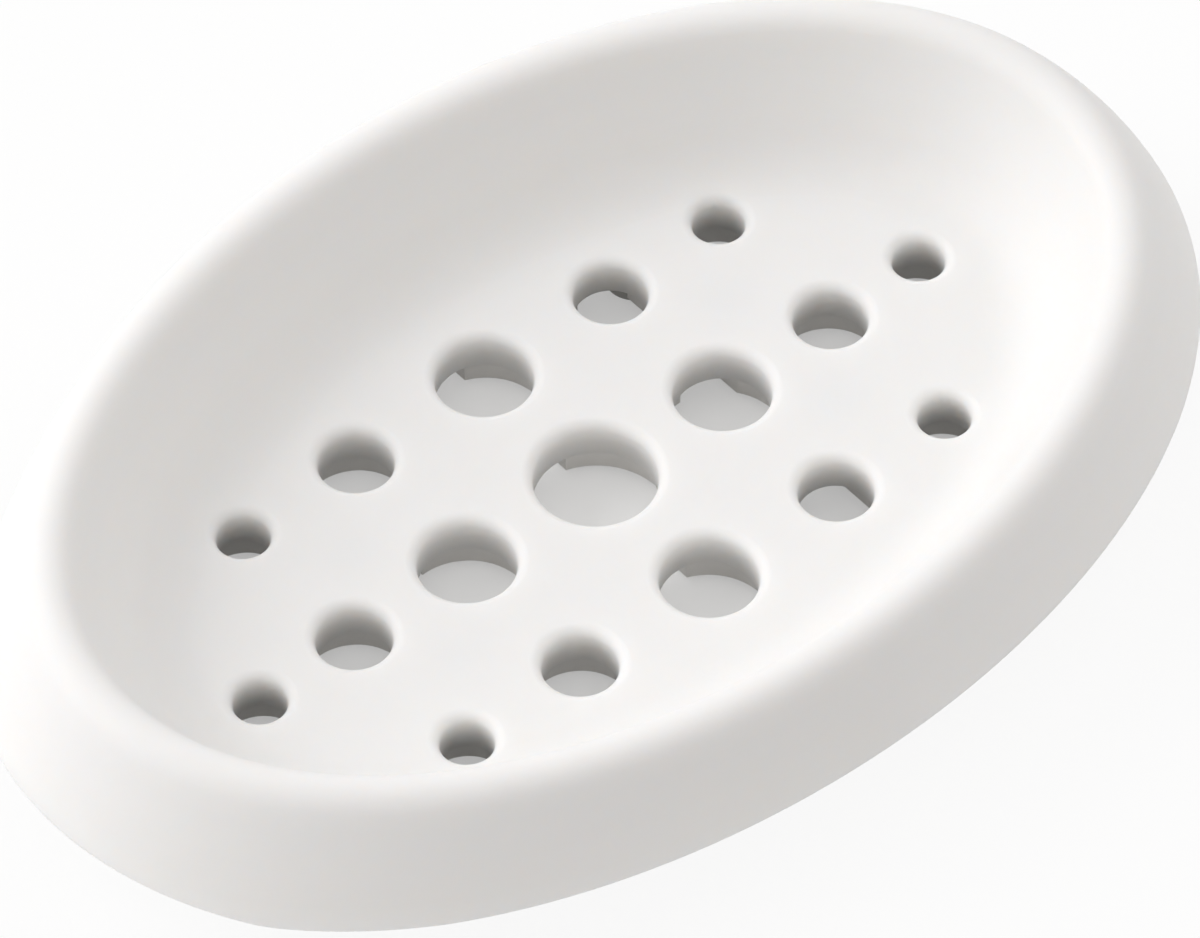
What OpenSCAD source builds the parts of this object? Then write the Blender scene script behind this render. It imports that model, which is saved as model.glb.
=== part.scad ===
// Oval soap dish: a perforated dish that sits on a drain base with four non-slip pads.
// Lengths are in millimetres and angles in degrees. Z is up and X runs along the dish.
// The origin is on the surface that the dish stands on, under its middle hole.

/* [Oval] */
// Half length of the oval line that runs along the top of the rim
rim_half_length = 57; // [55:0.2:62]
// Half width of the same oval line
rim_half_width = 37.4; // [35:0.2:42]

/* [Dish] */
// Depth of the bowl, from the top of the rim to the floor
bowl_depth = 13; // [11:0.1:16]
// Radius of the rounded rim
rim_r = 2.5; // [1.8:0.1:3]
// Steepness of the bowl's side
bowl_slope = 60; // [54:1:66]
// Radius of the bend between the floor and the bowl's side
bowl_bend_r = 7; // [5:0.5:8]
// Thickness of the floor and of the bowl's side
floor_t = 4.2; // [3.4:0.1:5]
// How far the skirt's lower edge stands outside the rim line, on the long sides
skirt_spread = 5.9; // [5.2:0.1:7]
// How much further the edge stands out at the two ends
end_flare = 2.8; // [1.6:0.1:3.6]
// Height of the skirt's four feet above the floor's upper face
skirt_lift = 0.8; // [0.2:0.1:2]
// Radius of the skirt's slightly rounded outer side, from the rim down to the edge
skirt_r = 35; // [25:1:60]
// Thickness of the skirt
skirt_t = 3; // [2.4:0.1:3.4]
// Radius at the root of the hollow behind the skirt
hollow_r = 1.2; // [0.8:0.1:1.5]
// Half length of the finger arch in the skirt's lower edge, on each long side
side_arch_half = 45; // [30:1:48]
// Height of the finger arch on each long side
side_arch_h = 0.8; // [0.4:0.1:2]
// Half width of the arch in the skirt's lower edge, at each end
end_arch_half = 21; // [14:1:24]
// Height of the arch at each end
end_arch_h = 1.5; // [0.4:0.1:2]

/* [Drain holes] */
// Spacing of the three middle columns of holes
col_pitch = 15.7; // [15.2:0.1:16.4]
// Distance of the next columns from the middle
outer_col = 29.3; // [28.6:0.1:30.2]
// Distance of the single end holes from the middle
end_col = 40.5; // [40:0.1:41]
// Spacing of the rows of holes
row_pitch = 16; // [15.4:0.1:16.4]
// Diameter of the middle hole
hole_d_middle = 11.8; // [10:0.1:12.4]
// Diameter of the four holes next to it
hole_d_large = 9.4; // [8:0.1:10]
// Diameter of the next six holes
hole_d_medium = 7.2; // [6:0.1:7.8]
// Diameter of the six outermost holes
hole_d_small = 5.1; // [4.4:0.1:5.6]
// Radius of the rounding round the top of each hole
hole_edge_r = 1.1; // [0.6:0.1:1.4]

/* [Drain base] */
// Thickness of the drain base
base_t = 3.8; // [3.2:0.1:4.6]
// How far the base's edge lies inside the rim line
base_inset = 7.8; // [7:0.1:8.4]
// Bevel along the base's lower edge
base_bevel = 0.8; // [0.4:0.1:1.2]
// How much wider the base's pockets are than the holes, on the radius
pocket_margin = 1.6; // [1:0.1:1.8]
// Half width of the channels that join the pockets
channel_half_w = 2.4; // [1.6:0.1:2.6]
// Distance of the two outer channels from the middle
channel_x = 18.4; // [17.6:0.1:18.6]
// Depth of the channels, from the base's lower face
channel_depth = 2.3; // [1.6:0.1:2.6]
// Diameter of the pegs that hold the base in the dish
peg_d = 4; // [3:0.1:4.4]
// Height of the pegs
peg_h = 2.2; // [1.6:0.1:2.6]
// Distance of the pegs from the middle, along the dish
peg_x = 23.2; // [22.8:0.1:23.6]
// Distance of the pegs from the middle, across the dish
peg_y = 8; // [7.6:0.1:8.4]
// Clearance round each peg, on the radius
peg_clear = 0.1; // [0.05:0.01:0.2]
// Clearance above each peg
peg_end_clear = 0.3; // [0.2:0.1:0.6]

/* [Pads] */
// Diameter of a non-slip pad
pad_d = 6; // [5:0.1:6.4]
// Depth of the recess that holds a pad
pad_sink = 1; // [0.8:0.1:1.4]
// How far a pad stands out under the base
pad_proud = 0.6; // [0.4:0.1:1]
// Clearance round a pad in its recess, on the radius
pad_clear = 0.1; // [0.05:0.01:0.2]
// Bevel along a pad's lower edge
pad_bevel = 0.3; // [0.2:0.05:0.4]
// Distance of the pads from the middle, along the dish
pad_x = 23.3; // [23:0.1:23.8]
// How far in from the base's long sides the pads are centred
pad_inset = 8.3; // [7.8:0.1:8.6]

/* [Hidden] */
$fn = 96;

// Steps round the oval, along each bend of a cross-section, along each half of the rim's
// top and down the skirt
oval_steps = 80;
bend_steps = 5;
rim_steps = 4;
skirt_steps = 3;
// How far a cut runs past the faces it opens, and a joined shape into its neighbour
over = 1;

// Heights of the layers above the surface that the dish stands on
base_z = pad_proud;
floor_under_z = base_z + base_t;
floor_z = floor_under_z + floor_t;

// In the dish's cross-section x is the distance outside the rim line and y the height
// above the floor. A face is held by its direction and by its distance along it.
rim_top_dir = 90;
rim_centre = [0, bowl_depth - rim_r];
skirt_edge = [skirt_spread, skirt_lift];
skirt_reach = norm(skirt_edge - rim_centre);
skirt_tangent = 2 * skirt_r * rim_r - pow(rim_r, 2) - pow(skirt_reach, 2);
skirt_dir = atan2(skirt_edge[1] - rim_centre[1], skirt_edge[0] - rim_centre[0])
    + acos(skirt_tangent / (2 * (skirt_r - rim_r) * skirt_reach));
skirt_centre = rim_centre - (skirt_r - rim_r) * unit(skirt_dir);
skirt_inner_r = skirt_r - skirt_t;
bowl_dir = rim_top_dir + bowl_slope;
bowl_face = rim_centre * unit(bowl_dir) + rim_r;
bend_centre = meet(bowl_face + bowl_bend_r, bowl_dir, bowl_bend_r, rim_top_dir);
bend_start = -90;
bend_end = bend_start + bowl_slope;
hollow_off = bowl_face - floor_t - hollow_r - skirt_centre * unit(bowl_dir);
hollow_dir = bowl_dir - acos(hollow_off / (skirt_inner_r - hollow_r));
hollow_centre = skirt_centre + (skirt_inner_r - hollow_r) * unit(hollow_dir);

// The cross-section where the skirt's edge stands at the height y above the floor. The
// skirt's points lean out towards the ends of the dish.
function dish_section(y) = concat(
    arc(bend_centre, bowl_bend_r, bend_start, bend_end),
    arc(rim_centre, rim_r, bowl_dir, rim_top_dir, rim_steps),
    leaning(concat(
        arc(rim_centre, rim_r, rim_top_dir, skirt_dir, rim_steps, 1),
        arc(skirt_centre, skirt_r, skirt_dir, dir_at(y, skirt_r), skirt_steps, 1),
        arc(skirt_centre, skirt_inner_r, dir_at(y, skirt_inner_r), hollow_dir, skirt_steps),
        arc(hollow_centre, hollow_r, hollow_dir, bowl_dir, bend_steps, 1)
    )),
    arc(bend_centre, bowl_bend_r + floor_t, bend_end, bend_start)
);

// Direction from the middle of the skirt's curve to the height y, at the radius r
function dir_at(y, r) = asin((y - skirt_centre[1]) / r);

// Adds to each point its share of the flare, none at the rim's top and all at the feet
function leaning(points) =
    [for (p = points) [p[0], p[1], (bowl_depth - p[1]) / (bowl_depth - skirt_lift)]];

// Height of an arch of the given half length and height, at the distance u from its middle
function arch(u, half, height) =
    let (r = (pow(half, 2) + pow(height, 2)) / (2 * height))
    abs(u) < half ? sqrt(pow(r, 2) - pow(u, 2)) - r + height : 0;

// Height of the skirt's edge above the floor, at the angle t round the oval
function edge_y(t) = skirt_lift
    + arch((rim_half_length + skirt_spread + end_flare) * cos(t), side_arch_half, side_arch_h)
    + arch((rim_half_width + skirt_spread) * sin(t), end_arch_half, end_arch_h);

base_section = [
    [-base_inset, base_t],
    [-base_inset, base_bevel],
    [-base_inset - base_bevel, 0]
];

// Angle of each step round the oval
oval_angles = [for (i = [0:oval_steps - 1]) 360 * i / oval_steps];

// Distance of the pads from the middle, across the dish
pad_y = rim_half_width - base_inset - pad_inset;

// Every hole as its place and its diameter
holes = concat(
    [[0, 0, hole_d_middle]],
    [for (s = [-1, 1]) [s * col_pitch, 0, hole_d_large]],
    [for (s = [-1, 1]) [0, s * row_pitch, hole_d_large]],
    [for (s = [-1, 1]) [s * outer_col, 0, hole_d_medium]],
    [for (s = [-1, 1], t = [-1, 1]) [s * col_pitch, t * row_pitch, hole_d_medium]],
    [for (s = [-1, 1]) [s * end_col, 0, hole_d_small]],
    [for (s = [-1, 1], t = [-1, 1]) [s * outer_col, t * row_pitch, hole_d_small]]
);

function unit(a) = [cos(a), sin(a)];

// The point at the distance p along the direction a and q along the direction b
function meet(p, a, q, b) =
    [p * sin(b) - q * sin(a), q * cos(a) - p * cos(b)] / sin(b - a);

// Points along an arc, from the angle a to the angle b
function arc(centre, r, a, b, steps = bend_steps, first = 0) =
    [for (i = [first:steps]) centre + r * unit(a + (b - a) * i / steps)];

// The place of a cross-section's point p, at the angle t round the oval
function on_oval(p, t) = [
    (rim_half_length + p[0] + (is_undef(p[2]) ? 0 : end_flare * p[2])) * cos(t),
    (rim_half_width + p[0]) * sin(t),
    p[1]
];

// A solid from one cross-section at each step round the oval, from upper to lower face
module lofted(sections) {
    n = oval_steps;
    last = len(sections[0]) - 1;
    polyhedron(
        points = [for (k = [0:last], i = [0:n - 1]) on_oval(sections[i][k], oval_angles[i])],
        faces = concat(
            [[for (i = [0:n - 1]) n - 1 - i]],
            [for (k = [0:last - 1], i = [0:n - 1]) let (j = (i + 1) % n)
                [k * n + i, k * n + j, (k + 1) * n + j]],
            [for (k = [0:last - 1], i = [0:n - 1]) let (j = (i + 1) % n)
                [k * n + i, (k + 1) * n + j, (k + 1) * n + i]],
            [[for (i = [0:n - 1]) last * n + i]]
        )
    );
}

// Copies a shape into the four quarters
module each_quarter(x, y) {
    for (s = [-1, 1], t = [-1, 1]) translate([s * x, t * y, 0]) children();
}

// A drain hole through the floor, with a rounded upper edge
module drain_hole(d) {
    rotate_extrude() polygon(concat(
        [[0, -floor_t - over], [0, over], [d / 2 + hole_edge_r, over]],
        arc([d / 2 + hole_edge_r, -hole_edge_r], hole_edge_r, 90, 180),
        [[d / 2, -floor_t - over]]
    ));
}

module dish() {
    color("whitesmoke")
    translate([0, 0, floor_z]) difference() {
        lofted([for (t = oval_angles) dish_section(edge_y(t))]);
        for (h = holes) translate([h[0], h[1], 0]) drain_hole(h[2]);
        translate([0, 0, -floor_t - over]) each_quarter(peg_x, peg_y)
            cylinder(d = peg_d + 2 * peg_clear, h = over + peg_h + peg_end_clear);
    }
}

module drain_base() {
    channel_l = 2 * (rim_half_width - base_inset + over);
    color("gainsboro")
    translate([0, 0, base_z]) difference() {
        union() {
            lofted([for (t = oval_angles) base_section]);
            translate([0, 0, base_t - over]) each_quarter(peg_x, peg_y)
                cylinder(d = peg_d, h = over + peg_h);
        }
        for (h = holes) translate([h[0], h[1], -over])
            cylinder(d = h[2] + 2 * pocket_margin, h = base_t + 2 * over);
        for (s = [-1, 0, 1]) translate([s * channel_x - channel_half_w, -channel_l / 2, -over])
            cube([2 * channel_half_w, channel_l, over + channel_depth]);
        translate([0, 0, -over]) each_quarter(pad_x, pad_y)
            cylinder(d = pad_d + 2 * pad_clear, h = over + pad_sink);
    }
}

// One pad, in the quarter that the two signs choose
module pad(s, t) {
    color("silver")
    translate([s * pad_x, t * pad_y, 0]) {
        cylinder(d1 = pad_d - 2 * pad_bevel, d2 = pad_d, h = pad_bevel);
        translate([0, 0, pad_bevel]) cylinder(d = pad_d, h = pad_proud + pad_sink - pad_bevel);
    }
}

dish();
drain_base();
pad(-1, -1);  // pad_front_left
pad(1, -1);  // pad_front_right
pad(-1, 1);  // pad_rear_left
pad(1, 1);  // pad_rear_right
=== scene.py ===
"""A white oval soap dish on a channelled drain base with four pads, in a pale studio.

Lengths are in metres and angles in radians. Z is up, X runs along the dish, and the dish
is seen from its -Y side. The origin is on the surface that the dish stands on, under its
middle drain hole. The dish is drawn as a cross-section that is spun round and stretched
into an oval, and its holes are cut afterwards.
"""

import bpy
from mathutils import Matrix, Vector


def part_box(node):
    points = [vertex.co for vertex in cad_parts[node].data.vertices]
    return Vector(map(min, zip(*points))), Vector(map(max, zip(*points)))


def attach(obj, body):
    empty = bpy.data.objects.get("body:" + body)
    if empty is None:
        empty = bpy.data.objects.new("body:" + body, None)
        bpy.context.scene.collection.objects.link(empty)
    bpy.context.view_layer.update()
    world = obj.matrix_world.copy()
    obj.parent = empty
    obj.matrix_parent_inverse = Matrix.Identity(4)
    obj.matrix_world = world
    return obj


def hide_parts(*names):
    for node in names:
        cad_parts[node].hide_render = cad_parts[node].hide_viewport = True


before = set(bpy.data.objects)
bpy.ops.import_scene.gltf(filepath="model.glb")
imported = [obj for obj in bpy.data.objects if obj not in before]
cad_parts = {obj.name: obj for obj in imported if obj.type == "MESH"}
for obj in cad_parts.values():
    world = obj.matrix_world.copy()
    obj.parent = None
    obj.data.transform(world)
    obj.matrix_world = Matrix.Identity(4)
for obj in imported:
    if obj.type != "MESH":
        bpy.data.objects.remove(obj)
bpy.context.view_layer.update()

from math import acos, asin, atan2, cos, hypot, pi, radians, sin, sqrt

import bmesh
import bpy
from bpy.props import FloatProperty, FloatVectorProperty, PointerProperty
from mathutils import Matrix, Vector

bl_info = {
    "name": "Oval Soap Dish",
    "version": (1, 0, 0),
    "blender": (4, 5, 0),
    "location": "View3D > Sidebar > Soap Dish",
    "description": "Builds an oval soap dish, its drain base and pads, and the studio round it",
    "category": "Add Mesh",
}

BODY = "root"
PADS = ("pad_front_left", "pad_front_right", "pad_rear_left", "pad_rear_right")
PHOTO_WIDTH = 1200

DISH_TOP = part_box("dish")[1].z
BASE_LOW, BASE_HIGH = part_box("drain_base")

# Numbers of steps: round the oval, a drain hole and a peg or pad, along the bends of the dish's
# cross-section, along small roundings and bevels, and along each side of the floor
OVAL_STEPS = 192
HOLE_STEPS = 64
PEG_STEPS = 40
BEND_STEPS = 12
RIM_STEPS = 20
SKIRT_STEPS = 12
EDGE_STEPS = 10
BEVEL_STEPS = 3
SOFTENING_STEPS = 2
FLOOR_STEPS = 8
# The first and last steps of a bend are this small, so that a flat beside it is shaded flat
FIRST_STEP = radians(1.5)
# Edges that turn by more than this are rounded, on the skirt's lower edge and on the base
SKIRT_CORNER = radians(30)
BASE_CORNER = radians(40)
# Points nearer to each other than this are one point
SAME = 1e-6
# Points that a cut leaves nearer than this are merged
CUT_GAP = 0.00001
# A hole's rounding ends this far over the face that it opens, on the floor and on the bowl's
# bend, so that it meets the face in a clean line
FLOOR_LIFT = 0.000002
BEND_LIFT = 0.00001
# How far a cutter runs past the faces that it opens
OVERRUN = 0.001
# A face is level where its normal's upright part is larger than this
LEVEL = 0.99999
# The side of a pad's dimple runs this many times as far as it falls
DIMPLE_RUN = 2
# The camera shows nothing nearer than this
NEAREST = 0.01

# Distance between the dish's flow lines, their height, and the size of its faint clouds
FLOW_PITCH = 0.0028
FLOW_HEIGHT = 0.00001
CLOUD_PITCH = 0.011
# Distance between the base's tool marks, and their scale along X, which draws them out
MARK_PITCH = 0.0016
MARK_SCALE = 0.12
# Size of the dust clouds on a pad, and the distance, depth and strength of its pits
DUST_PITCH = 0.0011
PIT_PITCH = 0.0003
PIT_DEPTH = 0.00002
PIT_STRENGTH = 0.6
# Size of the clouds in the floor's paper
PAPER_PITCH = 0.02
# Brightness of each material's darkest places, and of a pad's lightest, as a share of its colour
DISH_DARK = 0.985
BASE_DARK = 0.97
PAD_DARK = 0.9
PAD_LIGHT = 1.05
PAPER_DARK = 0.99
# How far the plastic's roughness strays below and above its mean, on the dish and on the base
DISH_STRAY = (-0.06, 0.06)
BASE_STRAY = (-0.05, 0.1)
# Roughness of a pad where it is clean and where it is dusty
PAD_ROUGHNESS = (0.72, 0.9)
# Strength of the shine of the plastic and of the rubber
PLASTIC_SHINE = 0.3
RUBBER_SHINE = 0.25
# How far red light spreads inside the dish's plastic, and each colour as a share of that
SOFT_DEPTH = 0.0018
SOFT_SHARES = (1.0, 0.92, 0.85)
# Noise could be anything from 0 to 1, and nearly all of it lies between these
NOISE_LOW = 0.3
NOISE_HIGH = 0.7
# Share of plain white in what the camera sees of the floor under the dish. It is painted light
# that lifts the shade seen through the drain holes. The floor's own share takes over between these
# two squares of the distance from the middle, with the base's edge at 1
SHADE_GLOW = 0.37
SHADE_INSIDE = 0.85
SHADE_OUTSIDE = 1.2


def length(label, text, default, low=0.0):
    """A size in metres."""
    return FloatProperty(
        name=label, description=text, default=default, min=low, unit="LENGTH", precision=5
    )


def angle(label, text, degrees):
    """An angle, given in degrees."""
    return FloatProperty(name=label, description=text, default=radians(degrees), subtype="ANGLE")


def tint(label, text, default):
    """A linear colour."""
    return FloatVectorProperty(
        name=label, description=text, default=default, subtype="COLOR", min=0.0, max=1.0
    )


def factor(label, text, default, high=1.0):
    """A plain number from nothing up."""
    return FloatProperty(name=label, description=text, default=default, min=0.0, max=high)


class SOAPDISH_PG_dish(bpy.types.PropertyGroup):
    """Sizes of the dish."""

    rim_half_length: length("Rim half length", "Half the length of the rim's top line", 0.057)
    rim_half_width: length("Rim half width", "Half the width of the rim's top line", 0.0374)
    bowl_depth: length("Bowl depth", "From the rim's top down to the floor", 0.013)
    rim_radius: length("Rim radius", "Radius of the rounded rim", 0.0025)
    bowl_slope: angle("Bowl slope", "Steepness of the bowl's side", 60)
    bend_radius: length("Bend radius", "Radius between the floor and the bowl's side", 0.007)
    wall: length("Floor thickness", "Thickness of the floor and of the bowl's side", 0.0042)
    skirt_spread: length("Skirt spread", "From the rim's top line out to the skirt's edge", 0.0059)
    end_flare: length("End flare", "How much further the skirt's edge is out at the ends", 0.0028)
    skirt_lift: length("Skirt lift", "Height of the skirt's edge above the bowl's floor", 0.0008)
    skirt_radius: length("Skirt radius", "Radius of the skirt's slightly rounded side", 0.035)
    skirt_wall: length("Skirt thickness", "Thickness of the skirt", 0.003)
    hollow_radius: length("Hollow radius", "Radius at the root of the skirt's hollow", 0.0012)
    edge_radius: length("Edge rounding", "Rounding along the skirt's lower edge", 0.0004)
    side_arch_half: length("Side arch half", "Half the length of the arch on a long side", 0.045)
    side_arch_height: length("Side arch height", "Height of the arch on a long side", 0.0008)
    end_arch_half: length("End arch half", "Half the width of the arch at an end", 0.021)
    end_arch_height: length("End arch height", "Height of the arch at an end", 0.0015)


class SOAPDISH_PG_holes(bpy.types.PropertyGroup):
    """Places and sizes of the drain holes."""

    column_pitch: length("Column pitch", "Spacing of the three middle columns", 0.0157)
    outer_column: length("Outer column", "Distance of the next columns from the middle", 0.0293)
    end_column: length("End column", "Distance of the single end holes from the middle", 0.0405)
    row_pitch: length("Row pitch", "Spacing of the rows", 0.016)
    middle: length("Middle hole", "Diameter of the middle hole", 0.0118)
    large: length("Large holes", "Diameter of the four holes next to it", 0.0094)
    medium: length("Medium holes", "Diameter of the next six holes", 0.0072)
    small: length("Small holes", "Diameter of the six outermost holes", 0.0051)
    edge_radius: length("Hole rounding", "Rounding round the top of a hole", 0.0011)


class SOAPDISH_PG_base(bpy.types.PropertyGroup):
    """Sizes of the drain base."""

    thickness: length("Thickness", "Thickness of the base", 0.0038)
    edge_bevel: length("Edge bevel", "Bevel along the base's lower edge", 0.0008)
    pocket_margin: length("Pocket margin", "How much wider a pocket is than its hole", 0.0016)
    channel_half_width: length("Channel half width", "Half the width of a channel", 0.0024)
    channel_offset: length("Channel offset", "Spacing of the channels", 0.0184)
    channel_depth: length("Channel depth", "Depth of a channel in the lower face", 0.0023)
    peg_diameter: length("Peg diameter", "Diameter of the pegs that hold the base", 0.004)
    peg_x: length("Peg place along", "Distance of the pegs from the middle along X", 0.0232)
    peg_y: length("Peg place across", "Distance of the pegs from the middle along Y", 0.008)
    peg_clearance: length("Peg clearance", "Room round a peg in its socket", 0.0001)
    peg_end_clearance: length("Peg end clearance", "Room above a peg in its socket", 0.0003)
    pad_clearance: length("Pad clearance", "Room round a pad in its recess", 0.0001)
    softening: length("Softening", "Small bevel along the base's edges", 0.00015)


class SOAPDISH_PG_pads(bpy.types.PropertyGroup):
    """Sizes of the non-slip pads."""

    edge_radius: length("Pad rounding", "Rounding along a pad's lower edge", 0.0003)
    dimple_share: factor("Dimple share", "Share of a pad's radius that its dimple takes", 0.6)
    dimple_depth: length("Dimple depth", "Depth of the dimple in a pad's lower face", 0.00015)


class SOAPDISH_PG_finish(bpy.types.PropertyGroup):
    """Colours and surfaces of the materials."""

    dish: tint("Dish", "Colour of the dish's matte white plastic", (0.95, 0.94, 0.915))
    base: tint("Drain base", "Colour of the drain base's plastic", (0.93, 0.92, 0.9))
    pad: tint("Pads", "Colour of the rubber pads", (0.62, 0.62, 0.60))
    roughness: factor("Roughness", "Roughness of the plastic", 0.55)
    grain_pitch: length("Grain pitch", "Distance between the bumps of the fine grain", 0.00045)
    grain_height: length("Grain height", "Height of the fine grain", 0.000004)


class SOAPDISH_PG_studio(bpy.types.PropertyGroup):
    """The camera, the lamps and the floor."""

    azimuth: angle("Azimuth", "Camera's turn round the dish, from straight in front", 40.448)
    elevation: angle("Elevation", "Camera's height above the horizon", 50.316)
    roll: angle("Roll", "Camera's turn about its own axis", -0.553)
    distance: length("Distance", "From the camera to the point that it aims at", 0.86325)
    aim_x: length("Aim along", "X of the point on the bowl's floor aimed at", 0.00060, -1.0)
    aim_y: length("Aim across", "Y of the point on the bowl's floor aimed at", 0.00006, -1.0)
    lens_pixels: factor("Lens", "Focal length in pixels of the photograph", 9276.5, 1e5)
    sky_tint: tint("Sky tint", "Colour of the even light", (1.0, 0.972, 0.955))
    lamp_tint: tint("Lamp tint", "Colour of the lamps' light", (0.985, 0.985, 1.0))
    sky: factor("Sky", "Strength of the even light from all round", 0.50, 10.0)
    key: factor("Key lamp", "Power of the lamp behind the dish on the left, in watts", 13.5, 100.0)
    key_turn: angle("Key lamp turn", "Turn of the key lamp round the dish from +X", 126)
    right: factor("Right lamp", "Power of the lamp at the dish's right end, in watts", 3.7, 100.0)
    right_turn: angle("Right lamp turn", "Turn of the right lamp round the dish from +X", 0)
    top: factor("Top lamp", "Power of the lamp over the dish, in watts", 1.7, 100.0)
    top_turn: angle("Top lamp turn", "Turn of the top lamp round the dish from +X", 230)
    lamp_height: angle("Lamp height", "Height of the lamps round the dish above the horizon", 37)
    top_height: angle("Top lamp height", "Height of the top lamp above the horizon", 75)
    lamp_distance: length("Lamp distance", "From the dish to the lamps", 1.5)
    lamp_size: length("Lamp size", "Side of each square lamp", 1.2)
    paper: tint("Floor colour", "Colour of the paper floor", (0.95, 0.95, 0.94))
    floor_half: length("Floor half side", "Half the side of the square floor", 3.0)
    floor_glow: factor("Floor glow", "Share of plain white in what the camera sees of it", 0.9)


# Drawing helpers


def pen_down(bm, x, z):
    """Starts a profile at a point of the XZ plane."""
    return bm.verts.new((x, 0, z))


def pen_line(bm, start, x, z):
    """Draws a straight stroke from the vertex `start`, and returns its end."""
    end = bmesh.ops.extrude_vert_indiv(bm, verts=[start])["verts"][0]
    end.co = (x, 0, z)
    return end


def pen_arc(bm, start, centre, turn, steps):
    """Draws an arc about `centre`, anticlockwise as seen from the front, and returns its end."""
    for part, count in ((FIRST_STEP, 1), (abs(turn) - 2 * FIRST_STEP, steps), (FIRST_STEP, 1)):
        stroke = bmesh.ops.spin(
            bm, geom=[start], cent=(centre[0], 0, centre[1]), axis=(0, -1, 0),
            angle=part if turn > 0 else -part, steps=count, use_duplicate=False,
        )
        start = stroke["geom_last"][0]
    return start


def spin_profile(bm, centre=(0, 0), steps=OVAL_STEPS):
    """Spins every vertex and edge of the mesh once round an upright axis."""
    bmesh.ops.spin(
        bm, geom=bm.verts[:] + bm.edges[:], cent=(centre[0], centre[1], 0), axis=(0, 0, 1),
        angle=2 * pi, steps=steps, use_merge=True, use_duplicate=False,
    )
    bmesh.ops.remove_doubles(bm, verts=bm.verts, dist=SAME)


def close_rings(bm):
    """Fills the open rings of a spun shape and turns every face outwards."""
    bmesh.ops.holes_fill(bm, edges=[e for e in bm.edges if e.is_boundary], sides=0)
    bmesh.ops.recalc_face_normals(bm, faces=bm.faces)


def on_ray(a):
    """The point at the angle `a` on the unit circle."""
    return Vector((cos(a), sin(a)))


def meet(p, a, q, b):
    """The point at the distance p along the direction a and q along the direction b."""
    return Vector((p * sin(b) - q * sin(a), q * cos(a) - p * cos(b))) / sin(b - a)


def shade_levels(thing):
    """Shades the level faces flat and all others smooth, so that no bend shows on a flat."""
    for face in thing.data.polygons:
        face.use_smooth = abs(face.normal.z) < LEVEL


def mesh_object(name, bm):
    """A shaded object from a mesh, with its origin at the frame's."""
    mesh = bpy.data.meshes.new(name)
    bm.to_mesh(mesh)
    bm.free()
    mesh.shade_smooth()
    thing = bpy.data.objects.new(name, mesh)
    bpy.context.scene.collection.objects.link(thing)
    return thing


def apply_modifiers(thing):
    """Makes what the modifiers show the object's own mesh."""
    shown = thing.evaluated_get(bpy.context.evaluated_depsgraph_get())
    mesh = bpy.data.meshes.new_from_object(shown)
    thing.modifiers.clear()
    old = thing.data
    thing.data = mesh
    mesh.name = old.name
    bpy.data.meshes.remove(old)


def cut(thing, cutter, operation="DIFFERENCE"):
    """Takes one object's shape from another's, or joins it on, and removes the tool."""
    tool = thing.modifiers.new("cut", "BOOLEAN")
    tool.object = cutter
    tool.operation = operation
    tool.solver = "EXACT"
    apply_modifiers(thing)
    bpy.data.objects.remove(cutter)


def weld(thing):
    """Merges the points that cuts have left almost on top of each other."""
    bm = bmesh.new()
    bm.from_mesh(thing.data)
    bmesh.ops.remove_doubles(bm, verts=bm.verts, dist=CUT_GAP)
    bm.to_mesh(thing.data)
    bm.free()


def seat(piece, node, material):
    """Puts a finished piece in its CAD node's stead, on the body and in its material."""
    shade_levels(piece)
    piece.data.materials.clear()
    piece.data.materials.append(material)
    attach(piece, BODY)
    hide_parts(node)


def four_ways(x, y):
    """The four mirrored places of a point."""
    return [(sx * x, sy * y) for sx in (-1, 1) for sy in (-1, 1)]


def drain_holes(holes):
    """Every drain hole as its place and diameter."""
    places = [(0, 0, holes.middle)]
    for side in (-1, 1):
        places.append((side * holes.column_pitch, 0, holes.large))
        places.append((0, side * holes.row_pitch, holes.large))
        places.append((side * holes.outer_column, 0, holes.medium))
        places.append((side * holes.end_column, 0, holes.small))
    places += [(x, y, holes.medium) for x, y in four_ways(holes.column_pitch, holes.row_pitch)]
    places += [(x, y, holes.small) for x, y in four_ways(holes.outer_column, holes.row_pitch)]
    return places


# Materials


def clear_nodes(owner):
    """Gives a material or a world an empty node tree, and returns the tree."""
    owner.use_nodes = True
    owner.node_tree.nodes.clear()
    return owner.node_tree


def add(tree, kind, inputs=(), **settings):
    """Adds a node. Its inputs are values, or sockets to link to."""
    made = tree.nodes.new(kind)
    for key, value in settings.items():
        setattr(made, key, value)
    for key, value in dict(inputs).items():
        if isinstance(value, bpy.types.NodeSocket):
            tree.links.new(value, made.inputs[key])
        else:
            made.inputs[key].default_value = value
    return made


def maths(tree, operation, *values):
    """A Math node on the given values or sockets."""
    return add(tree, "ShaderNodeMath", enumerate(values), operation=operation).outputs[0]


def object_place(tree):
    """The place of a point, in metres from the object's origin."""
    return add(tree, "ShaderNodeTexCoord").outputs["Object"]


def noise(tree, vector, pitch, detail=2.0, roughness=0.5):
    """Smooth noise whose features lie about `pitch` metres apart."""
    values = {"Vector": vector, "Scale": 1 / pitch, "Detail": detail, "Roughness": roughness}
    return add(tree, "ShaderNodeTexNoise", values).outputs["Fac"]


def spread(tree, value, low=0.0, high=1.0):
    """Spreads noise over a range of numbers."""
    limits = {
        "Value": value, "From Min": NOISE_LOW, "From Max": NOISE_HIGH,
        "To Min": low, "To Max": high,
    }
    return add(tree, "ShaderNodeMapRange", limits).outputs["Result"]


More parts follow.
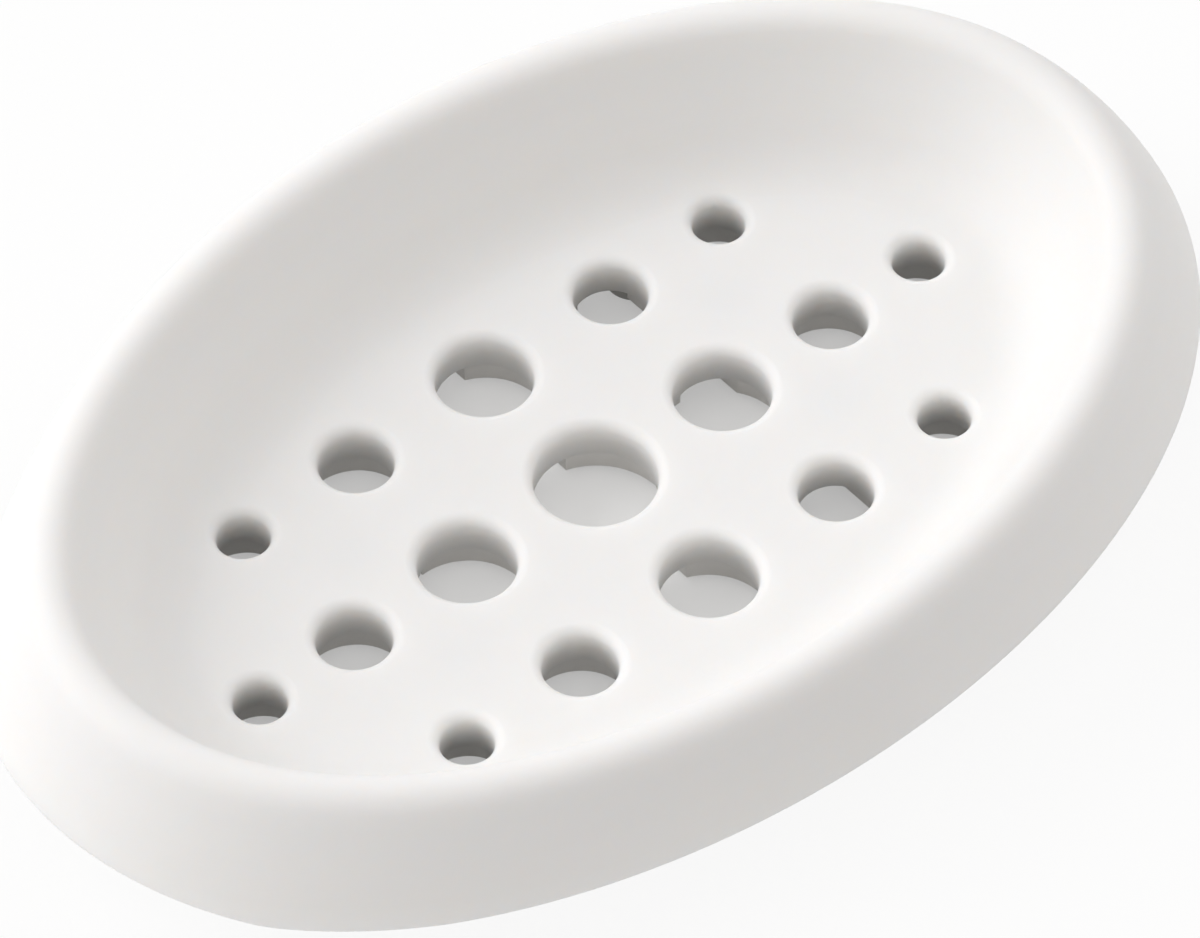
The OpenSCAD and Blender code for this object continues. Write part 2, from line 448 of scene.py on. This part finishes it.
def shades(tree, value, colour, low, high=1.0):
    """The colour, made `low` to `high` times as bright as the value runs from 0 to 1."""
    mix = add(tree, "ShaderNodeMix", data_type="RGBA")
    tree.links.new(value, mix.inputs["Factor"])
    mix.inputs["A"].default_value = [low * c for c in colour] + [1]
    mix.inputs["B"].default_value = [high * c for c in colour] + [1]
    return mix.outputs["Result"]


def bump(tree, height, distance, strength=1.0, **under):
    """A surface that rises by `distance` metres as the height runs from 0 to 1."""
    values = {"Height": height, "Distance": distance, "Strength": strength, **under}
    return add(tree, "ShaderNodeBump", values).outputs["Normal"]


def oval_square(tree, parts, half_length, half_width):
    """The square of a point's distance from the middle, where the oval's line is at 1."""
    along = maths(tree, "DIVIDE", parts["X"], half_length)
    across = maths(tree, "DIVIDE", parts["Y"], half_width)
    return maths(tree, "ADD", maths(tree, "POWER", along, 2), maths(tree, "POWER", across, 2))


def oval_flow(tree, place, half_length, half_width):
    """Height above the stand and distance from the middle, as a vector that follows the oval."""
    parts = add(tree, "ShaderNodeSeparateXYZ", {"Vector": place}).outputs
    share = maths(tree, "SQRT", oval_square(tree, parts, half_length, half_width))
    reach = maths(tree, "MULTIPLY", share, half_width)
    return add(tree, "ShaderNodeCombineXYZ", {"X": reach, "Z": parts["Z"]}).outputs["Vector"]


def new_material(name, shine):
    """A material with one shader, which shines with the given strength."""
    material = bpy.data.materials.new(name)
    tree = clear_nodes(material)
    shader = add(tree, "ShaderNodeBsdfPrincipled", {"Specular IOR Level": shine})
    add(tree, "ShaderNodeOutputMaterial", {"Surface": shader.outputs["BSDF"]})
    return material, tree, shader


def dress(tree, shader, colour, roughness, normal):
    """Links a material's patterns to its shader."""
    for name, pattern in (("Base Color", colour), ("Roughness", roughness), ("Normal", normal)):
        tree.links.new(pattern, shader.inputs[name])


def dish_plastic(finish, half_length, half_width):
    """Matte white plastic, with faint flow lines that follow the oval and a fine grain."""
    material, tree, shader = new_material("dish_white", PLASTIC_SHINE)
    place = object_place(tree)
    flow = oval_flow(tree, place, half_length, half_width)
    lines = noise(tree, flow, FLOW_PITCH, detail=3.0)
    clouds = noise(tree, place, CLOUD_PITCH, detail=4.0, roughness=0.6)
    grain = noise(tree, place, finish.grain_pitch, detail=3.0, roughness=0.6)
    mottle = maths(tree, "MULTIPLY", maths(tree, "ADD", lines, clouds), 0.5)
    colour = shades(tree, spread(tree, mottle), finish.dish, DISH_DARK)
    roughness = spread(tree, grain, *(finish.roughness + stray for stray in DISH_STRAY))
    coarse = bump(tree, lines, FLOW_HEIGHT)
    dress(tree, shader, colour, roughness, bump(tree, grain, finish.grain_height, Normal=coarse))
    shader.inputs["Subsurface Weight"].default_value = 1.0
    shader.inputs["Subsurface Radius"].default_value = SOFT_SHARES
    shader.inputs["Subsurface Scale"].default_value = SOFT_DEPTH
    return material


def base_plastic(finish):
    """Matte plastic of the drain base, with straight tool marks and a fine grain."""
    material, tree, shader = new_material("base_white", PLASTIC_SHINE)
    place = object_place(tree)
    drawn_out = add(tree, "ShaderNodeMapping", {"Vector": place, "Scale": (MARK_SCALE, 1.0, 1.0)})
    marks = noise(tree, drawn_out.outputs["Vector"], MARK_PITCH, detail=3.0)
    grain = noise(tree, place, finish.grain_pitch, detail=3.0, roughness=0.6)
    colour = shades(tree, spread(tree, marks), finish.base, BASE_DARK)
    roughness = spread(tree, grain, *(finish.roughness + stray for stray in BASE_STRAY))
    dress(tree, shader, colour, roughness, bump(tree, grain, finish.grain_height))
    return material


def pad_rubber(finish):
    """Soft grey rubber with a dusty, pitted face."""
    material, tree, shader = new_material("pad_rubber", RUBBER_SHINE)
    place = object_place(tree)
    dust = noise(tree, place, DUST_PITCH, detail=4.0, roughness=0.6)
    pits = add(tree, "ShaderNodeTexVoronoi", {"Vector": place, "Scale": 1 / PIT_PITCH})
    colour = shades(tree, spread(tree, dust), finish.pad, PAD_DARK, PAD_LIGHT)
    pitted = bump(tree, pits.outputs["Distance"], PIT_DEPTH, PIT_STRENGTH)
    dress(tree, shader, colour, spread(tree, dust, *PAD_ROUGHNESS), pitted)
    return material


def white_floor(studio):
    """A pale floor that the camera sees as nearly white, and that still takes the dish's shadow.

    It glows less under the dish, so that what shows through the drain holes is in shade. The white
    that it keeps there is painted light, which lifts that shade.
    """
    material = bpy.data.materials.new("studio_floor")
    tree = clear_nodes(material)
    path = add(tree, "ShaderNodeLightPath").outputs
    seen = maths(tree, "MAXIMUM", path["Is Camera Ray"], path["Is Glossy Ray"])
    seen = maths(tree, "MAXIMUM", seen, path["Is Transmission Ray"])
    place = object_place(tree)
    parts = add(tree, "ShaderNodeSeparateXYZ", {"Vector": place}).outputs
    # Under the dish the white share falls to SHADE_GLOW, which is painted light over the real
    # shade there
    fade = {
        "Value": oval_square(tree, parts, BASE_HIGH.x, BASE_HIGH.y),
        "From Min": SHADE_INSIDE, "From Max": SHADE_OUTSIDE,
        "To Min": SHADE_GLOW, "To Max": studio.floor_glow,
    }
    glow = add(tree, "ShaderNodeMapRange", fade, interpolation_type="SMOOTHSTEP").outputs["Result"]
    paper = shades(tree, spread(tree, noise(tree, place, PAPER_PITCH)), studio.paper, PAPER_DARK)
    matte = add(tree, "ShaderNodeBsdfDiffuse", {"Color": paper}).outputs[0]
    light = add(tree, "ShaderNodeEmission", {"Strength": 1.0}).outputs[0]
    share = maths(tree, "MULTIPLY", seen, glow)
    both = add(tree, "ShaderNodeMixShader", {0: share, 1: matte, 2: light}).outputs[0]
    add(tree, "ShaderNodeOutputMaterial", {"Surface": both})
    return material


# Pieces


class Section:
    """The dish's cross-section, in distances outside the rim line and heights over the floor."""

    def __init__(self, size):
        self.size = size
        self.inner = size.skirt_radius - size.skirt_wall
        self.rim = Vector((0, size.bowl_depth - size.rim_radius))
        edge = Vector((size.skirt_spread, size.skirt_lift))
        reach = edge - self.rim
        gap = size.skirt_radius - size.rim_radius
        # The skirt's arc starts smoothly on the rim's arc and passes through the skirt's edge
        double = 2 * size.skirt_radius * size.rim_radius
        closing = double - size.rim_radius ** 2 - reach.length_squared
        self.skirt_turn = atan2(reach.y, reach.x) + acos(closing / (2 * gap * reach.length))
        self.skirt = self.rim - gap * on_ray(self.skirt_turn)
        self.edge_turn = asin((edge.y - self.skirt.y) / size.skirt_radius)
        self.foot_turn = asin((edge.y - self.skirt.y) / self.inner)
        self.bowl_turn = pi / 2 + size.bowl_slope
        bowl_face = self.rim.dot(on_ray(self.bowl_turn)) + size.rim_radius
        self.bend = meet(bowl_face + size.bend_radius, self.bowl_turn, size.bend_radius, pi / 2)
        under_face = bowl_face - size.wall - size.hollow_radius
        off = under_face - self.skirt.dot(on_ray(self.bowl_turn))
        self.hollow_turn = self.bowl_turn - acos(off / (self.inner - size.hollow_radius))
        self.hollow = self.skirt + (self.inner - size.hollow_radius) * on_ray(self.hollow_turn)

    def draw(self, bm, floor_z):
        """Draws it from the floor's edge over the rim to the underside."""
        size = self.size
        origin = Vector((size.rim_half_width, floor_z))
        under_radius = size.bend_radius + size.wall

        def line(start, point):
            return pen_line(bm, start, *(origin + point))

        def arc(start, centre, turn, steps):
            return pen_arc(bm, start, origin + centre, turn, steps)

        pen = pen_down(bm, *(origin + self.bend - size.bend_radius * on_ray(pi / 2)))
        pen = arc(pen, self.bend, size.bowl_slope, BEND_STEPS)
        pen = line(pen, self.rim + size.rim_radius * on_ray(self.bowl_turn))
        pen = arc(pen, self.rim, self.skirt_turn - self.bowl_turn, RIM_STEPS)
        pen = arc(pen, self.skirt, self.edge_turn - self.skirt_turn, SKIRT_STEPS)
        pen = line(pen, self.skirt + self.inner * on_ray(self.foot_turn))
        pen = arc(pen, self.skirt, self.hollow_turn - self.foot_turn, SKIRT_STEPS)
        pen = arc(pen, self.hollow, self.bowl_turn - self.hollow_turn, BEND_STEPS)
        pen = line(pen, self.bend + under_radius * on_ray(self.bowl_turn + pi))
        arc(pen, self.bend, -size.bowl_slope, BEND_STEPS)

    def bowl_rise(self, x, y):
        """How far the bowl's bend has risen over the floor at a place."""
        size = self.size
        # The place's distance outside the rim line is found by halving its range
        low, high = -size.rim_half_width, 0.0
        while high - low > SAME:
            out = (low + high) / 2
            if hypot(x / (size.rim_half_length + out), y / (size.rim_half_width + out)) > 1:
                low = out
            else:
                high = out
        reach = low - self.bend.x
        return self.bend.y - sqrt(size.bend_radius ** 2 - reach ** 2) if reach > 0 else 0.0

    def on_skirt(self, out, up):
        """Whether a point is on the rim's outer half, the skirt or the hollow behind it."""
        hollow_end = self.hollow.x + self.size.hollow_radius * cos(self.bowl_turn) - SAME
        return out > 0 or (out > hollow_end and self.hollow.y < up < self.rim.y)

    def shape_skirt(self, out, up, turn):
        """Slides a point up along the skirt for the arches, and leans it out at the ends."""
        size = self.size
        along = (size.rim_half_length + size.skirt_spread + size.end_flare) * cos(turn)
        across = (size.rim_half_width + size.skirt_spread) * sin(turn)
        rise = arch(along, size.side_arch_half, size.side_arch_height)
        rise += arch(across, size.end_arch_half, size.end_arch_height)
        # The slide grows from the hollow's root down to the rounding of the skirt's edge
        top = self.hollow.y
        share = (top - up) / (top - size.skirt_lift - 2 * size.edge_radius)
        if share > 0:
            radius = hypot(out - self.skirt.x, up - self.skirt.y)
            up += rise * min(share, 1)
            out = self.skirt.x + sqrt(radius ** 2 - (up - self.skirt.y) ** 2)
        flare = size.end_flare * (size.bowl_depth - up) / (size.bowl_depth - size.skirt_lift)
        return out, up, flare


def arch(place, half, height):
    """Height of a shallow arch at a distance from its middle."""
    radius = (half ** 2 + height ** 2) / (2 * height)
    return sqrt(radius ** 2 - place ** 2) - radius + height if abs(place) < half else 0.0


def lay_on_oval(bm, section, floor_z):
    """Turns the spun dish into an oval one, with its arches and leaning ends."""
    size = section.size
    for vert in bm.verts:
        turn = atan2(vert.co.y, vert.co.x)
        out = hypot(vert.co.x, vert.co.y) - size.rim_half_width
        up = vert.co.z - floor_z
        flare = 0.0
        if section.on_skirt(out, up):
            out, up, flare = section.shape_skirt(out, up, turn)
        vert.co = (
            (size.rim_half_length + out + flare) * cos(turn),
            (size.rim_half_width + out) * sin(turn),
            floor_z + up,
        )


def stretch_oval(bm, extra):
    """Stretches a round shape into an oval whose ends lie `extra` further out."""
    for vert in bm.verts:
        radius = hypot(vert.co.x, vert.co.y)
        if radius > SAME:
            vert.co.x += extra * vert.co.x / radius


def soften(bm, edges, size):
    """Rounds the given edges."""
    bmesh.ops.bevel(
        bm, geom=edges, offset=size, offset_type="OFFSET", segments=BEVEL_STEPS, profile=0.5,
        affect="EDGES", material=-1, clamp_overlap=True,
    )


def hole_cutters(places, depth, edge_radius, top, section):
    """One mesh of round cutters, each widening over a rounded edge up to the bowl's face."""
    cutters = bmesh.new()
    for x, y, diameter in places:
        one = bmesh.new()
        wide = x + diameter / 2 + edge_radius
        pen = pen_down(one, x + diameter / 2, top - depth)
        centre = (wide, top - edge_radius + FLOOR_LIFT)
        pen = pen_line(one, pen, x + diameter / 2, centre[1])
        pen = pen_arc(one, pen, centre, -pi / 2, EDGE_STEPS)
        pen_line(one, pen, wide, top + OVERRUN)
        spin_profile(one, (x, 0), HOLE_STEPS)
        bmesh.ops.translate(one, verts=one.verts, vec=(0, y, 0))
        # Wider rings rise more, up to the height of the bowl's face there
        for vert in one.verts:
            away = Vector((vert.co.x - x, vert.co.y - y))
            share = (away.length - diameter / 2) / edge_radius
            if share > SAME:
                away.length = wide - x
                rise = section.bowl_rise(x + away.x, y + away.y)
                vert.co.z += share * (rise + BEND_LIFT if rise else 0)
        close_rings(one)
        join_mesh(cutters, one)
    return mesh_object("hole_cutters", cutters)


def join_mesh(whole, part):
    """Adds one mesh to another and frees it."""
    carrier = bpy.data.meshes.new("carrier")
    part.to_mesh(carrier)
    part.free()
    whole.from_mesh(carrier)
    bpy.data.meshes.remove(carrier)


def post(x, y, radius, low, high, steps=PEG_STEPS):
    """An upright round post."""
    bm = bmesh.new()
    made = bmesh.ops.create_circle(
        bm, cap_ends=True, segments=steps, radius=radius, matrix=Matrix.Translation((x, y, low))
    )
    raised = bmesh.ops.extrude_face_region(bm, geom=made["verts"][0].link_faces[:])["geom"]
    bmesh.ops.translate(
        bm, verts=[g for g in raised if isinstance(g, bmesh.types.BMVert)], vec=(0, 0, high - low)
    )
    bmesh.ops.recalc_face_normals(bm, faces=bm.faces)
    return bm


class SOAPDISH_OT_dish(bpy.types.Operator):
    """Build the dish with its bowl, rim, skirt, drain holes and peg sockets"""

    bl_idname = "soapdish.dish"
    bl_label = "Dish"

    def execute(self, context):
        size = context.scene.soapdish_dish
        holes = context.scene.soapdish_holes
        base = context.scene.soapdish_base
        floor_z = DISH_TOP - size.bowl_depth
        under_z = floor_z - size.wall
        bm = bmesh.new()
        section = Section(size)
        section.draw(bm, floor_z)
        spin_profile(bm)
        edge_z = floor_z + size.skirt_lift
        foot = {
            v for v in bm.verts
            if abs(v.co.z - edge_z) < SAME and v.co.length > size.rim_half_width
        }
        corners = [
            e for e in bm.edges if foot.issuperset(e.verts) and e.calc_face_angle(0) > SKIRT_CORNER
        ]
        soften(bm, corners, size.edge_radius)
        lay_on_oval(bm, section, floor_z)
        close_rings(bm)
        dish = mesh_object("dish_body", bm)
        depth = size.wall + OVERRUN
        cut(dish, hole_cutters(drain_holes(holes), depth, holes.edge_radius, floor_z, section))
        sockets = bmesh.new()
        socket_top = BASE_HIGH.z + base.peg_end_clearance
        for x, y in four_ways(base.peg_x, base.peg_y):
            radius = base.peg_diameter / 2 + base.peg_clearance
            join_mesh(sockets, post(x, y, radius, under_z - OVERRUN, socket_top))
        cut(dish, mesh_object("sockets", sockets))
        finish = context.scene.soapdish_finish
        plastic = dish_plastic(finish, size.rim_half_length, size.rim_half_width)
        seat(dish, "dish", plastic)
        return {"FINISHED"}


class SOAPDISH_OT_drain_base(bpy.types.Operator):
    """Build the drain base with its pockets, channels, pad recesses and pegs"""

    bl_idname = "soapdish.drain_base"
    bl_label = "Drain Base"

    def execute(self, context):
        base = context.scene.soapdish_base
        bottom = BASE_LOW.z
        top = bottom + base.thickness
        bm = bmesh.new()
        pen = pen_down(bm, BASE_HIGH.y - base.edge_bevel, bottom)
        pen = pen_line(bm, pen, BASE_HIGH.y, bottom + base.edge_bevel)
        pen_line(bm, pen, BASE_HIGH.y, top)
        spin_profile(bm)
        stretch_oval(bm, BASE_HIGH.x - BASE_HIGH.y)
        close_rings(bm)
        plate = mesh_object("drain_base_plate", bm)
        pegs = bmesh.new()
        for x, y in four_ways(base.peg_x, base.peg_y):
            join_mesh(pegs, post(x, y, base.peg_diameter / 2, top - OVERRUN, BASE_HIGH.z))
        cut(plate, mesh_object("pegs", pegs), "UNION")
        cut(plate, pocket_cutters(context, bottom, top))
        cut(plate, channel_cutters(base, bottom))
        weld(plate)
        softening = plate.modifiers.new("softening", "BEVEL")
        softening.width = base.softening
        softening.segments = SOFTENING_STEPS
        softening.limit_method = "ANGLE"
        softening.angle_limit = BASE_CORNER
        apply_modifiers(plate)
        seat(plate, "drain_base", base_plastic(context.scene.soapdish_finish))
        return {"FINISHED"}


def pocket_cutters(context, bottom, top):
    """Round cutters for the pockets round the drain holes and for the pads' recesses."""
    base = context.scene.soapdish_base
    cutters = bmesh.new()
    for x, y, diameter in drain_holes(context.scene.soapdish_holes):
        radius = diameter / 2 + base.pocket_margin
        join_mesh(cutters, post(x, y, radius, bottom - OVERRUN, top + OVERRUN, HOLE_STEPS))
    for name in PADS:
        low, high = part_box(name)
        middle = (low + high) / 2
        radius = (high.x - low.x) / 2 + base.pad_clearance
        join_mesh(cutters, post(middle.x, middle.y, radius, bottom - OVERRUN, high.z))
    return mesh_object("pockets", cutters)


def channel_cutters(base, bottom):
    """Straight cutters for the three channels across the base."""
    cutters = bmesh.new()
    across = 2 * (BASE_HIGH.y + OVERRUN)
    size = Vector((2 * base.channel_half_width, across, OVERRUN + base.channel_depth))
    for side in (-1, 0, 1):
        place = Vector((side * base.channel_offset, 0, bottom - OVERRUN + size.z / 2))
        bmesh.ops.create_cube(cutters, size=1, matrix=Matrix.LocRotScale(place, None, size))
    return mesh_object("channels", cutters)


class SOAPDISH_OT_pads(bpy.types.Operator):
    """Build the four non-slip pads"""

    bl_idname = "soapdish.pads"
    bl_label = "Non-slip Pads"

    def execute(self, context):
        pads = context.scene.soapdish_pads
        rubber = pad_rubber(context.scene.soapdish_finish)
        for name in PADS:
            low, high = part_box(name)
            middle = (low + high) / 2
            radius = (high.x - low.x) / 2
            dimple = radius * pads.dimple_share
            bm = bmesh.new()
            run = DIMPLE_RUN * pads.dimple_depth
            pen = pen_down(bm, middle.x + dimple - run, pads.dimple_depth)
            pen = pen_line(bm, pen, middle.x + dimple, 0)
            pen = pen_line(bm, pen, middle.x + radius - pads.edge_radius, 0)
            corner = (middle.x + radius - pads.edge_radius, pads.edge_radius)
            pen = pen_arc(bm, pen, corner, pi / 2, EDGE_STEPS)
            pen_line(bm, pen, middle.x + radius, high.z)
            spin_profile(bm, (middle.x, 0), PEG_STEPS)
            bmesh.ops.translate(bm, verts=bm.verts, vec=(0, middle.y, 0))
            close_rings(bm)
            seat(mesh_object(name + "_disc", bm), name, rubber)
        return {"FINISHED"}


# Studio


def lamp(name, studio, turn, height, power):
    """A square lamp that faces the dish, at a turn from +X and a height over the horizon."""
    data = bpy.data.lights.new(name, "AREA")
    data.shape = "SQUARE"
    data.size = studio.lamp_size
    data.energy = power
    data.color = studio.lamp_tint
    thing = bpy.data.objects.new(name, data)
    away = Vector((cos(height) * cos(turn), cos(height) * sin(turn), sin(height)))
    thing.location = studio.lamp_distance * away
    thing.rotation_euler = away.to_track_quat("Z", "Y").to_euler()
    bpy.context.scene.collection.objects.link(thing)


def camera(studio, floor_z):
    """The photograph's camera, aimed at the dish's floor."""
    data = bpy.data.cameras.new("camera")
    data.lens = studio.lens_pixels / PHOTO_WIDTH * data.sensor_width
    data.clip_start = NEAREST
    thing = bpy.data.objects.new("camera", data)
    look = Vector((
        sin(studio.azimuth) * cos(studio.elevation),
        cos(studio.azimuth) * cos(studio.elevation),
        -sin(studio.elevation),
    ))
    right = Vector((cos(studio.azimuth), -sin(studio.azimuth), 0))
    up = right.cross(look)
    axes = Matrix((right, up, -look)).transposed().to_4x4()
    aim = Vector((studio.aim_x, studio.aim_y, floor_z))
    place = Matrix.Translation(aim - studio.distance * look)
    thing.matrix_world = place @ axes @ Matrix.Rotation(studio.roll, 4, "Z")
    bpy.context.scene.collection.objects.link(thing)
    bpy.context.scene.camera = thing


def sky(studio):
    """Even light from all round, behind a white background."""
    world = bpy.data.worlds.new("studio")
    tree = clear_nodes(world)
    path = add(tree, "ShaderNodeLightPath").outputs
    seen = maths(tree, "MAXIMUM", path["Is Camera Ray"], path["Is Transmission Ray"])
    even = {"Color": (*studio.sky_tint, 1), "Strength": studio.sky}
    light = add(tree, "ShaderNodeBackground", even).outputs[0]
    white = add(tree, "ShaderNodeBackground", {"Color": (1, 1, 1, 1), "Strength": 1.0}).outputs[0]
    both = add(tree, "ShaderNodeMixShader", {0: seen, 1: light, 2: white}).outputs[0]
    add(tree, "ShaderNodeOutputWorld", {"Surface": both})
    bpy.context.scene.world = world


class SOAPDISH_OT_studio(bpy.types.Operator):
    """Set up the floor, the lamps, the white background and the camera"""

    bl_idname = "soapdish.studio"
    bl_label = "Studio"

    def execute(self, context):
        studio = context.scene.soapdish_studio
        bm = bmesh.new()
        bmesh.ops.create_grid(
            bm, x_segments=FLOOR_STEPS, y_segments=FLOOR_STEPS, size=studio.floor_half
        )
        floor = mesh_object("floor", bm)
        floor.data.materials.append(white_floor(studio))
        lamp("key", studio, studio.key_turn, studio.lamp_height, studio.key)
        lamp("right", studio, studio.right_turn, studio.lamp_height, studio.right)
        lamp("top", studio, studio.top_turn, studio.top_height, studio.top)
        sky(studio)
        camera(studio, DISH_TOP - context.scene.soapdish_dish.bowl_depth)
        context.scene.view_settings.view_transform = "Standard"
        return {"FINISHED"}


class SOAPDISH_PT_panel(bpy.types.Panel):
    """Lists the pieces and their sizes."""

    bl_idname = "SOAPDISH_PT_panel"
    bl_label = "Soap Dish"
    bl_space_type = "VIEW_3D"
    bl_region_type = "UI"
    bl_category = "Soap Dish"

    def draw(self, context):
        for operator in OPERATORS:
            self.layout.operator(operator.bl_idname)
        for name, group in GROUPS.items():
            box = self.layout.box()
            box.label(text=group.__doc__)
            for size in group.__annotations__:
                box.prop(getattr(context.scene, name), size)


GROUPS = {
    "soapdish_dish": SOAPDISH_PG_dish,
    "soapdish_holes": SOAPDISH_PG_holes,
    "soapdish_base": SOAPDISH_PG_base,
    "soapdish_pads": SOAPDISH_PG_pads,
    "soapdish_finish": SOAPDISH_PG_finish,
    "soapdish_studio": SOAPDISH_PG_studio,
}
OPERATORS = (SOAPDISH_OT_dish, SOAPDISH_OT_drain_base, SOAPDISH_OT_pads, SOAPDISH_OT_studio)


def register():
    for name, group in GROUPS.items():
        bpy.utils.register_class(group)
        setattr(bpy.types.Scene, name, PointerProperty(type=group))
    for made in (*OPERATORS, SOAPDISH_PT_panel):
        bpy.utils.register_class(made)


def unregister():
    for made in (SOAPDISH_PT_panel, *reversed(OPERATORS)):
        bpy.utils.unregister_class(made)
    for name, group in reversed(GROUPS.items()):
        delattr(bpy.types.Scene, name)
        bpy.utils.unregister_class(group)


def main():
    register()
    bpy.ops.soapdish.dish()
    bpy.ops.soapdish.drain_base()
    bpy.ops.soapdish.pads()
    bpy.ops.soapdish.studio()


if __name__ == "__main__":
    main()
